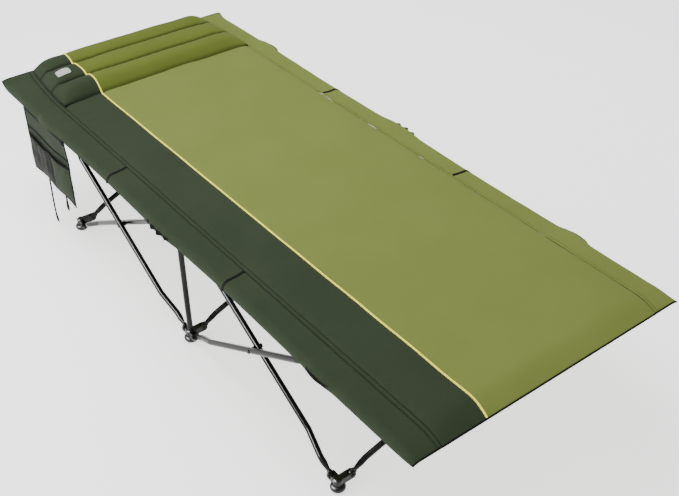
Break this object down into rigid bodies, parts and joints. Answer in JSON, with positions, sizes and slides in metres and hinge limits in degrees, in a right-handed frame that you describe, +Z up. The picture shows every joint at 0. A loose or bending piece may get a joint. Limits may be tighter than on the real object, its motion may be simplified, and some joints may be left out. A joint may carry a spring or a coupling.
{
  "type": "folding camp cot",
  "caption": "Folding camp cot: black steel scissor frame on moulded feet, padded sleeping surface with built-in pillow and a hanging side pocket.",
  "frame": {"origin": "on the floor, below the middle of the bed", "axes": "+X from the head end to the foot end, +Y from the dark side to the light side, +Z up"},
  "size_m": [2, 0.8384, 0.474],
  "materials": {
    "tube_black": "gloss black enamel",
    "hub_black": "gloss moulded",
    "tip_black": "matte moulded",
    "fabric_light": "woven polyester, olive green",
    "fabric_dark": "woven polyester, dark green",
    "fabric_pocket": "woven polyester, grey green",
    "webbing_black": "woven webbing",
    "mesh_black": "open mesh",
    "piping_yellow": "corded piping, yellow",
    "patch_grey": "woven patch, blank"
  },
  "bodies": {
    "foot_mid_near": {"foot_hub_mid_near": "hub_black", "post_near": "tube_black"},
    "foot_head_near": {"foot_hub_head_near": "hub_black"},
    "foot_foot_near": {"foot_hub_foot_near": "hub_black"},
    "top_head_near": {"top_hub_head_near": "hub_black"},
    "top_mid_near": {"top_hub_mid_near": "hub_black"},
    "top_foot_near": {"top_hub_foot_near": "hub_black"},
    "bar_head_near_up_to_head": {"bar_head_near_up_to_head": "tube_black"},
    "bar_head_near_up_to_foot": {"bar_head_near_up_to_foot": "tube_black"},
    "bar_foot_near_up_to_head": {"bar_foot_near_up_to_head": "tube_black"},
    "bar_foot_near_up_to_foot": {"bar_foot_near_up_to_foot": "tube_black"},
    "arm_head_near": {"corner_arm_head_near": "tube_black", "arm_tip_head_near": "tip_black"},
    "arm_foot_near": {"corner_arm_foot_near": "tube_black", "arm_tip_foot_near": "tip_black"},
    "foot_mid_far": {"foot_hub_mid_far": "hub_black", "post_far": "tube_black"},
    "foot_head_far": {"foot_hub_head_far": "hub_black"},
    "foot_foot_far": {"foot_hub_foot_far": "hub_black"},
    "top_head_far": {"top_hub_head_far": "hub_black"},
    "top_mid_far": {"top_hub_mid_far": "hub_black"},
    "top_foot_far": {"top_hub_foot_far": "hub_black"},
    "bar_head_far_up_to_head": {"bar_head_far_up_to_head": "tube_black"},
    "bar_head_far_up_to_foot": {"bar_head_far_up_to_foot": "tube_black"},
    "bar_foot_far_up_to_head": {"bar_foot_far_up_to_head": "tube_black"},
    "bar_foot_far_up_to_foot": {"bar_foot_far_up_to_foot": "tube_black"},
    "arm_head_far": {"corner_arm_head_far": "tube_black", "arm_tip_head_far": "tip_black"},
    "arm_foot_far": {"corner_arm_foot_far": "tube_black", "arm_tip_foot_far": "tip_black"},
    "cross_head_up_to_far": {"bar_cross_head_up_to_far": "tube_black"},
    "cross_head_up_to_near": {"bar_cross_head_up_to_near": "tube_black"},
    "cross_mid_up_to_far": {"bar_cross_mid_up_to_far": "tube_black"},
    "cross_mid_up_to_near": {"bar_cross_mid_up_to_near": "tube_black"},
    "cross_foot_up_to_far": {"bar_cross_foot_up_to_far": "tube_black"},
    "cross_foot_up_to_near": {"bar_cross_foot_up_to_near": "tube_black"},
    "bed_near": {"panel_light_near": "fabric_light", "panel_dark": "fabric_dark", "flap_near": "fabric_dark", "piping": "piping_yellow", "pillow_light_near": "fabric_light", "pillow_dark": "fabric_dark", "straps_near": "webbing_black", "edge_patches_near": "webbing_black", "binding_near": "webbing_black", "blank_patch": "patch_grey"},
    "bed_far": {"panel_light_far": "fabric_light", "flap_far": "fabric_light", "pillow_light_far": "fabric_light", "straps_far": "webbing_black", "edge_patches_far": "webbing_black", "binding_far": "webbing_black"},
    "pocket": {"pocket_back": "fabric_pocket", "pocket_tape": "webbing_black", "mesh_pocket": "mesh_black", "small_pocket": "fabric_pocket", "pocket_ties": "webbing_black"}
  },
  "joints": [
    {"name": "frame_fold", "type": "hinge", "parent": "foot_mid_near", "child": "cross_mid_up_to_far", "pos_m": [0, -0.316, 0.028], "axis": [1, 0, 0], "range_deg": [0, 55.79], "deforming": ["panel_light_near", "panel_dark", "flap_near", "piping", "pillow_light_near", "pillow_dark", "straps_near", "edge_patches_near", "binding_near", "blank_patch", "panel_light_far", "flap_far", "pillow_light_far", "straps_far", "edge_patches_far", "binding_far"]},
    {"name": "cross_mid_scissor", "type": "hinge", "parent": "cross_mid_up_to_far", "child": "cross_mid_up_to_near", "pos_m": [0, 0, 0.212], "axis": [1, 0, 0], "range_deg": [-111.58, 0]},
    {"name": "foot_mid_far_pivot", "type": "hinge", "parent": "cross_mid_up_to_near", "child": "foot_mid_far", "pos_m": [0, 0.316, 0.028], "axis": [1, 0, 0], "range_deg": [0, 55.79]},
    {"name": "top_mid_far_pivot", "type": "hinge", "parent": "cross_mid_up_to_far", "child": "top_mid_far", "pos_m": [0, 0.316, 0.396], "axis": [1, 0, 0], "range_deg": [-55.79, 0]},
    {"name": "head_near_bar_pivot", "type": "hinge", "parent": "foot_mid_near", "child": "bar_head_near_up_to_head", "pos_m": [-0.024, -0.356, 0.028], "axis": [0, 1, 0], "range_deg": [0, 55.79]},
    {"name": "head_near_scissor", "type": "hinge", "parent": "bar_head_near_up_to_head", "child": "bar_head_near_up_to_foot", "pos_m": [-0.34, -0.356, 0.212], "axis": [0, 1, 0], "range_deg": [-111.58, 0]},
    {"name": "top_head_near_pivot", "type": "hinge", "parent": "bar_head_near_up_to_head", "child": "top_head_near", "pos_m": [-0.656, -0.356, 0.396], "axis": [0, 1, 0], "range_deg": [-55.79, 0]},
    {"name": "foot_head_near_pivot", "type": "hinge", "parent": "bar_head_near_up_to_foot", "child": "foot_head_near", "pos_m": [-0.656, -0.356, 0.028], "axis": [0, 1, 0], "range_deg": [0, 55.79]},
    {"name": "top_mid_near_pivot", "type": "hinge", "parent": "bar_head_near_up_to_foot", "child": "top_mid_near", "pos_m": [-0.024, -0.356, 0.396], "axis": [0, 1, 0], "range_deg": [0, 55.79]},
    {"name": "foot_near_bar_pivot", "type": "hinge", "parent": "foot_mid_near", "child": "bar_foot_near_up_to_foot", "pos_m": [0.024, -0.356, 0.028], "axis": [0, 1, 0], "range_deg": [-55.79, 0]},
    {"name": "foot_near_scissor", "type": "hinge", "parent": "bar_foot_near_up_to_foot", "child": "bar_foot_near_up_to_head", "pos_m": [0.34, -0.356, 0.212], "axis": [0, 1, 0], "range_deg": [0, 111.58]},
    {"name": "top_foot_near_pivot", "type": "hinge", "parent": "bar_foot_near_up_to_foot", "child": "top_foot_near", "pos_m": [0.656, -0.356, 0.396], "axis": [0, 1, 0], "range_deg": [0, 55.79]},
    {"name": "foot_foot_near_pivot", "type": "hinge", "parent": "bar_foot_near_up_to_head", "child": "foot_foot_near", "pos_m": [0.656, -0.356, 0.028], "axis": [0, 1, 0], "range_deg": [-55.79, 0]},
    {"name": "head_far_bar_pivot", "type": "hinge", "parent": "foot_mid_far", "child": "bar_head_far_up_to_head", "pos_m": [-0.024, 0.356, 0.028], "axis": [0, 1, 0], "range_deg": [0, 55.79]},
    {"name": "head_far_scissor", "type": "hinge", "parent": "bar_head_far_up_to_head", "child": "bar_head_far_up_to_foot", "pos_m": [-0.34, 0.356, 0.212], "axis": [0, 1, 0], "range_deg": [-111.58, 0]},
    {"name": "top_head_far_pivot", "type": "hinge", "parent": "bar_head_far_up_to_head", "child": "top_head_far", "pos_m": [-0.656, 0.356, 0.396], "axis": [0, 1, 0], "range_deg": [-55.79, 0]},
    {"name": "foot_head_far_pivot", "type": "hinge", "parent": "bar_head_far_up_to_foot", "child": "foot_head_far", "pos_m": [-0.656, 0.356, 0.028], "axis": [0, 1, 0], "range_deg": [0, 55.79]},
    {"name": "foot_far_bar_pivot", "type": "hinge", "parent": "foot_mid_far", "child": "bar_foot_far_up_to_foot", "pos_m": [0.024, 0.356, 0.028], "axis": [0, 1, 0], "range_deg": [-55.79, 0]},
    {"name": "foot_far_scissor", "type": "hinge", "parent": "bar_foot_far_up_to_foot", "child": "bar_foot_far_up_to_head", "pos_m": [0.34, 0.356, 0.212], "axis": [0, 1, 0], "range_deg": [0, 111.58]},
    {"name": "top_foot_far_pivot", "type": "hinge", "parent": "bar_foot_far_up_to_foot", "child": "top_foot_far", "pos_m": [0.656, 0.356, 0.396], "axis": [0, 1, 0], "range_deg": [0, 55.79]},
    {"name": "foot_foot_far_pivot", "type": "hinge", "parent": "bar_foot_far_up_to_head", "child": "foot_foot_far", "pos_m": [0.656, 0.356, 0.028], "axis": [0, 1, 0], "range_deg": [-55.79, 0]},
    {"name": "cross_head_pivot", "type": "hinge", "parent": "foot_head_near", "child": "cross_head_up_to_far", "pos_m": [-0.68, -0.316, 0.028], "axis": [1, 0, 0], "range_deg": [0, 55.79]},
    {"name": "cross_head_scissor", "type": "hinge", "parent": "cross_head_up_to_far", "child": "cross_head_up_to_near", "pos_m": [-0.68, 0, 0.212], "axis": [1, 0, 0], "range_deg": [-111.58, 0]},
    {"name": "cross_foot_pivot", "type": "hinge", "parent": "foot_foot_near", "child": "cross_foot_up_to_far", "pos_m": [0.68, -0.316, 0.028], "axis": [1, 0, 0], "range_deg": [0, 55.79]},
    {"name": "cross_foot_scissor", "type": "hinge", "parent": "cross_foot_up_to_far", "child": "cross_foot_up_to_near", "pos_m": [0.68, 0, 0.212], "axis": [1, 0, 0], "range_deg": [-111.58, 0]},
    {"name": "bed_near_lift", "type": "hinge", "parent": "top_mid_near", "child": "bed_near", "pos_m": [0, -0.405, 0.408], "axis": [1, 0, 0], "range_deg": [0, 73.6]},
    {"name": "bed_far_lift", "type": "hinge", "parent": "top_mid_far", "child": "bed_far", "pos_m": [0, 0.405, 0.408], "axis": [1, 0, 0], "range_deg": [-73.6, 0]},
    {"name": "arm_foot_near_lift", "type": "hinge", "parent": "top_foot_near", "child": "arm_foot_near", "pos_m": [0.704, -0.356, 0.396], "axis": [0, 1, 0], "range_deg": [-88, 0]},
    {"name": "arm_head_near_lift", "type": "hinge", "parent": "top_head_near", "child": "arm_head_near", "pos_m": [-0.704, -0.356, 0.396], "axis": [0, 1, 0], "range_deg": [0, 88]},
    {"name": "arm_foot_far_lift", "type": "hinge", "parent": "top_foot_far", "child": "arm_foot_far", "pos_m": [0.704, 0.356, 0.396], "axis": [0, 1, 0], "range_deg": [-88, 0]},
    {"name": "arm_head_far_lift", "type": "hinge", "parent": "top_head_far", "child": "arm_head_far", "pos_m": [-0.704, 0.356, 0.396], "axis": [0, 1, 0], "range_deg": [0, 88]},
    {"name": "pocket_swing", "type": "hinge", "parent": "top_head_near", "child": "pocket", "pos_m": [-0.698, -0.406, 0.397], "axis": [-1, 0, 0], "range_deg": [0, 80]}
  ],
  "couplings": [
    {"joint": "cross_mid_scissor", "follows": "frame_fold", "ratio": -2},
    {"joint": "foot_mid_far_pivot", "follows": "frame_fold", "ratio": 1},
    {"joint": "top_mid_far_pivot", "follows": "frame_fold", "ratio": -1},
    {"joint": "head_near_bar_pivot", "follows": "frame_fold", "ratio": 1},
    {"joint": "head_near_scissor", "follows": "frame_fold", "ratio": -2},
    {"joint": "top_head_near_pivot", "follows": "frame_fold", "ratio": -1},
    {"joint": "foot_head_near_pivot", "follows": "frame_fold", "ratio": 1},
    {"joint": "top_mid_near_pivot", "follows": "frame_fold", "ratio": 1},
    {"joint": "foot_near_bar_pivot", "follows": "frame_fold", "ratio": -1},
    {"joint": "foot_near_scissor", "follows": "frame_fold", "ratio": 2},
    {"joint": "top_foot_near_pivot", "follows": "frame_fold", "ratio": 1},
    {"joint": "foot_foot_near_pivot", "follows": "frame_fold", "ratio": -1},
    {"joint": "head_far_bar_pivot", "follows": "frame_fold", "ratio": 1},
    {"joint": "head_far_scissor", "follows": "frame_fold", "ratio": -2},
    {"joint": "top_head_far_pivot", "follows": "frame_fold", "ratio": -1},
    {"joint": "foot_head_far_pivot", "follows": "frame_fold", "ratio": 1},
    {"joint": "foot_far_bar_pivot", "follows": "frame_fold", "ratio": -1},
    {"joint": "foot_far_scissor", "follows": "frame_fold", "ratio": 2},
    {"joint": "top_foot_far_pivot", "follows": "frame_fold", "ratio": 1},
    {"joint": "foot_foot_far_pivot", "follows": "frame_fold", "ratio": -1},
    {"joint": "cross_head_pivot", "follows": "frame_fold", "ratio": 1},
    {"joint": "cross_head_scissor", "follows": "frame_fold", "ratio": -2},
    {"joint": "cross_foot_pivot", "follows": "frame_fold", "ratio": 1},
    {"joint": "cross_foot_scissor", "follows": "frame_fold", "ratio": -2},
    {"joint": "bed_near_lift", "follows": "frame_fold", "ratio": 1.3193},
    {"joint": "bed_far_lift", "follows": "frame_fold", "ratio": -1.3193},
    {"joint": "arm_foot_near_lift", "follows": "frame_fold", "ratio": -1.5774},
    {"joint": "arm_head_near_lift", "follows": "frame_fold", "ratio": 1.5774},
    {"joint": "arm_foot_far_lift", "follows": "frame_fold", "ratio": -1.5774},
    {"joint": "arm_head_far_lift", "follows": "frame_fold", "ratio": 1.5774}
  ]
}
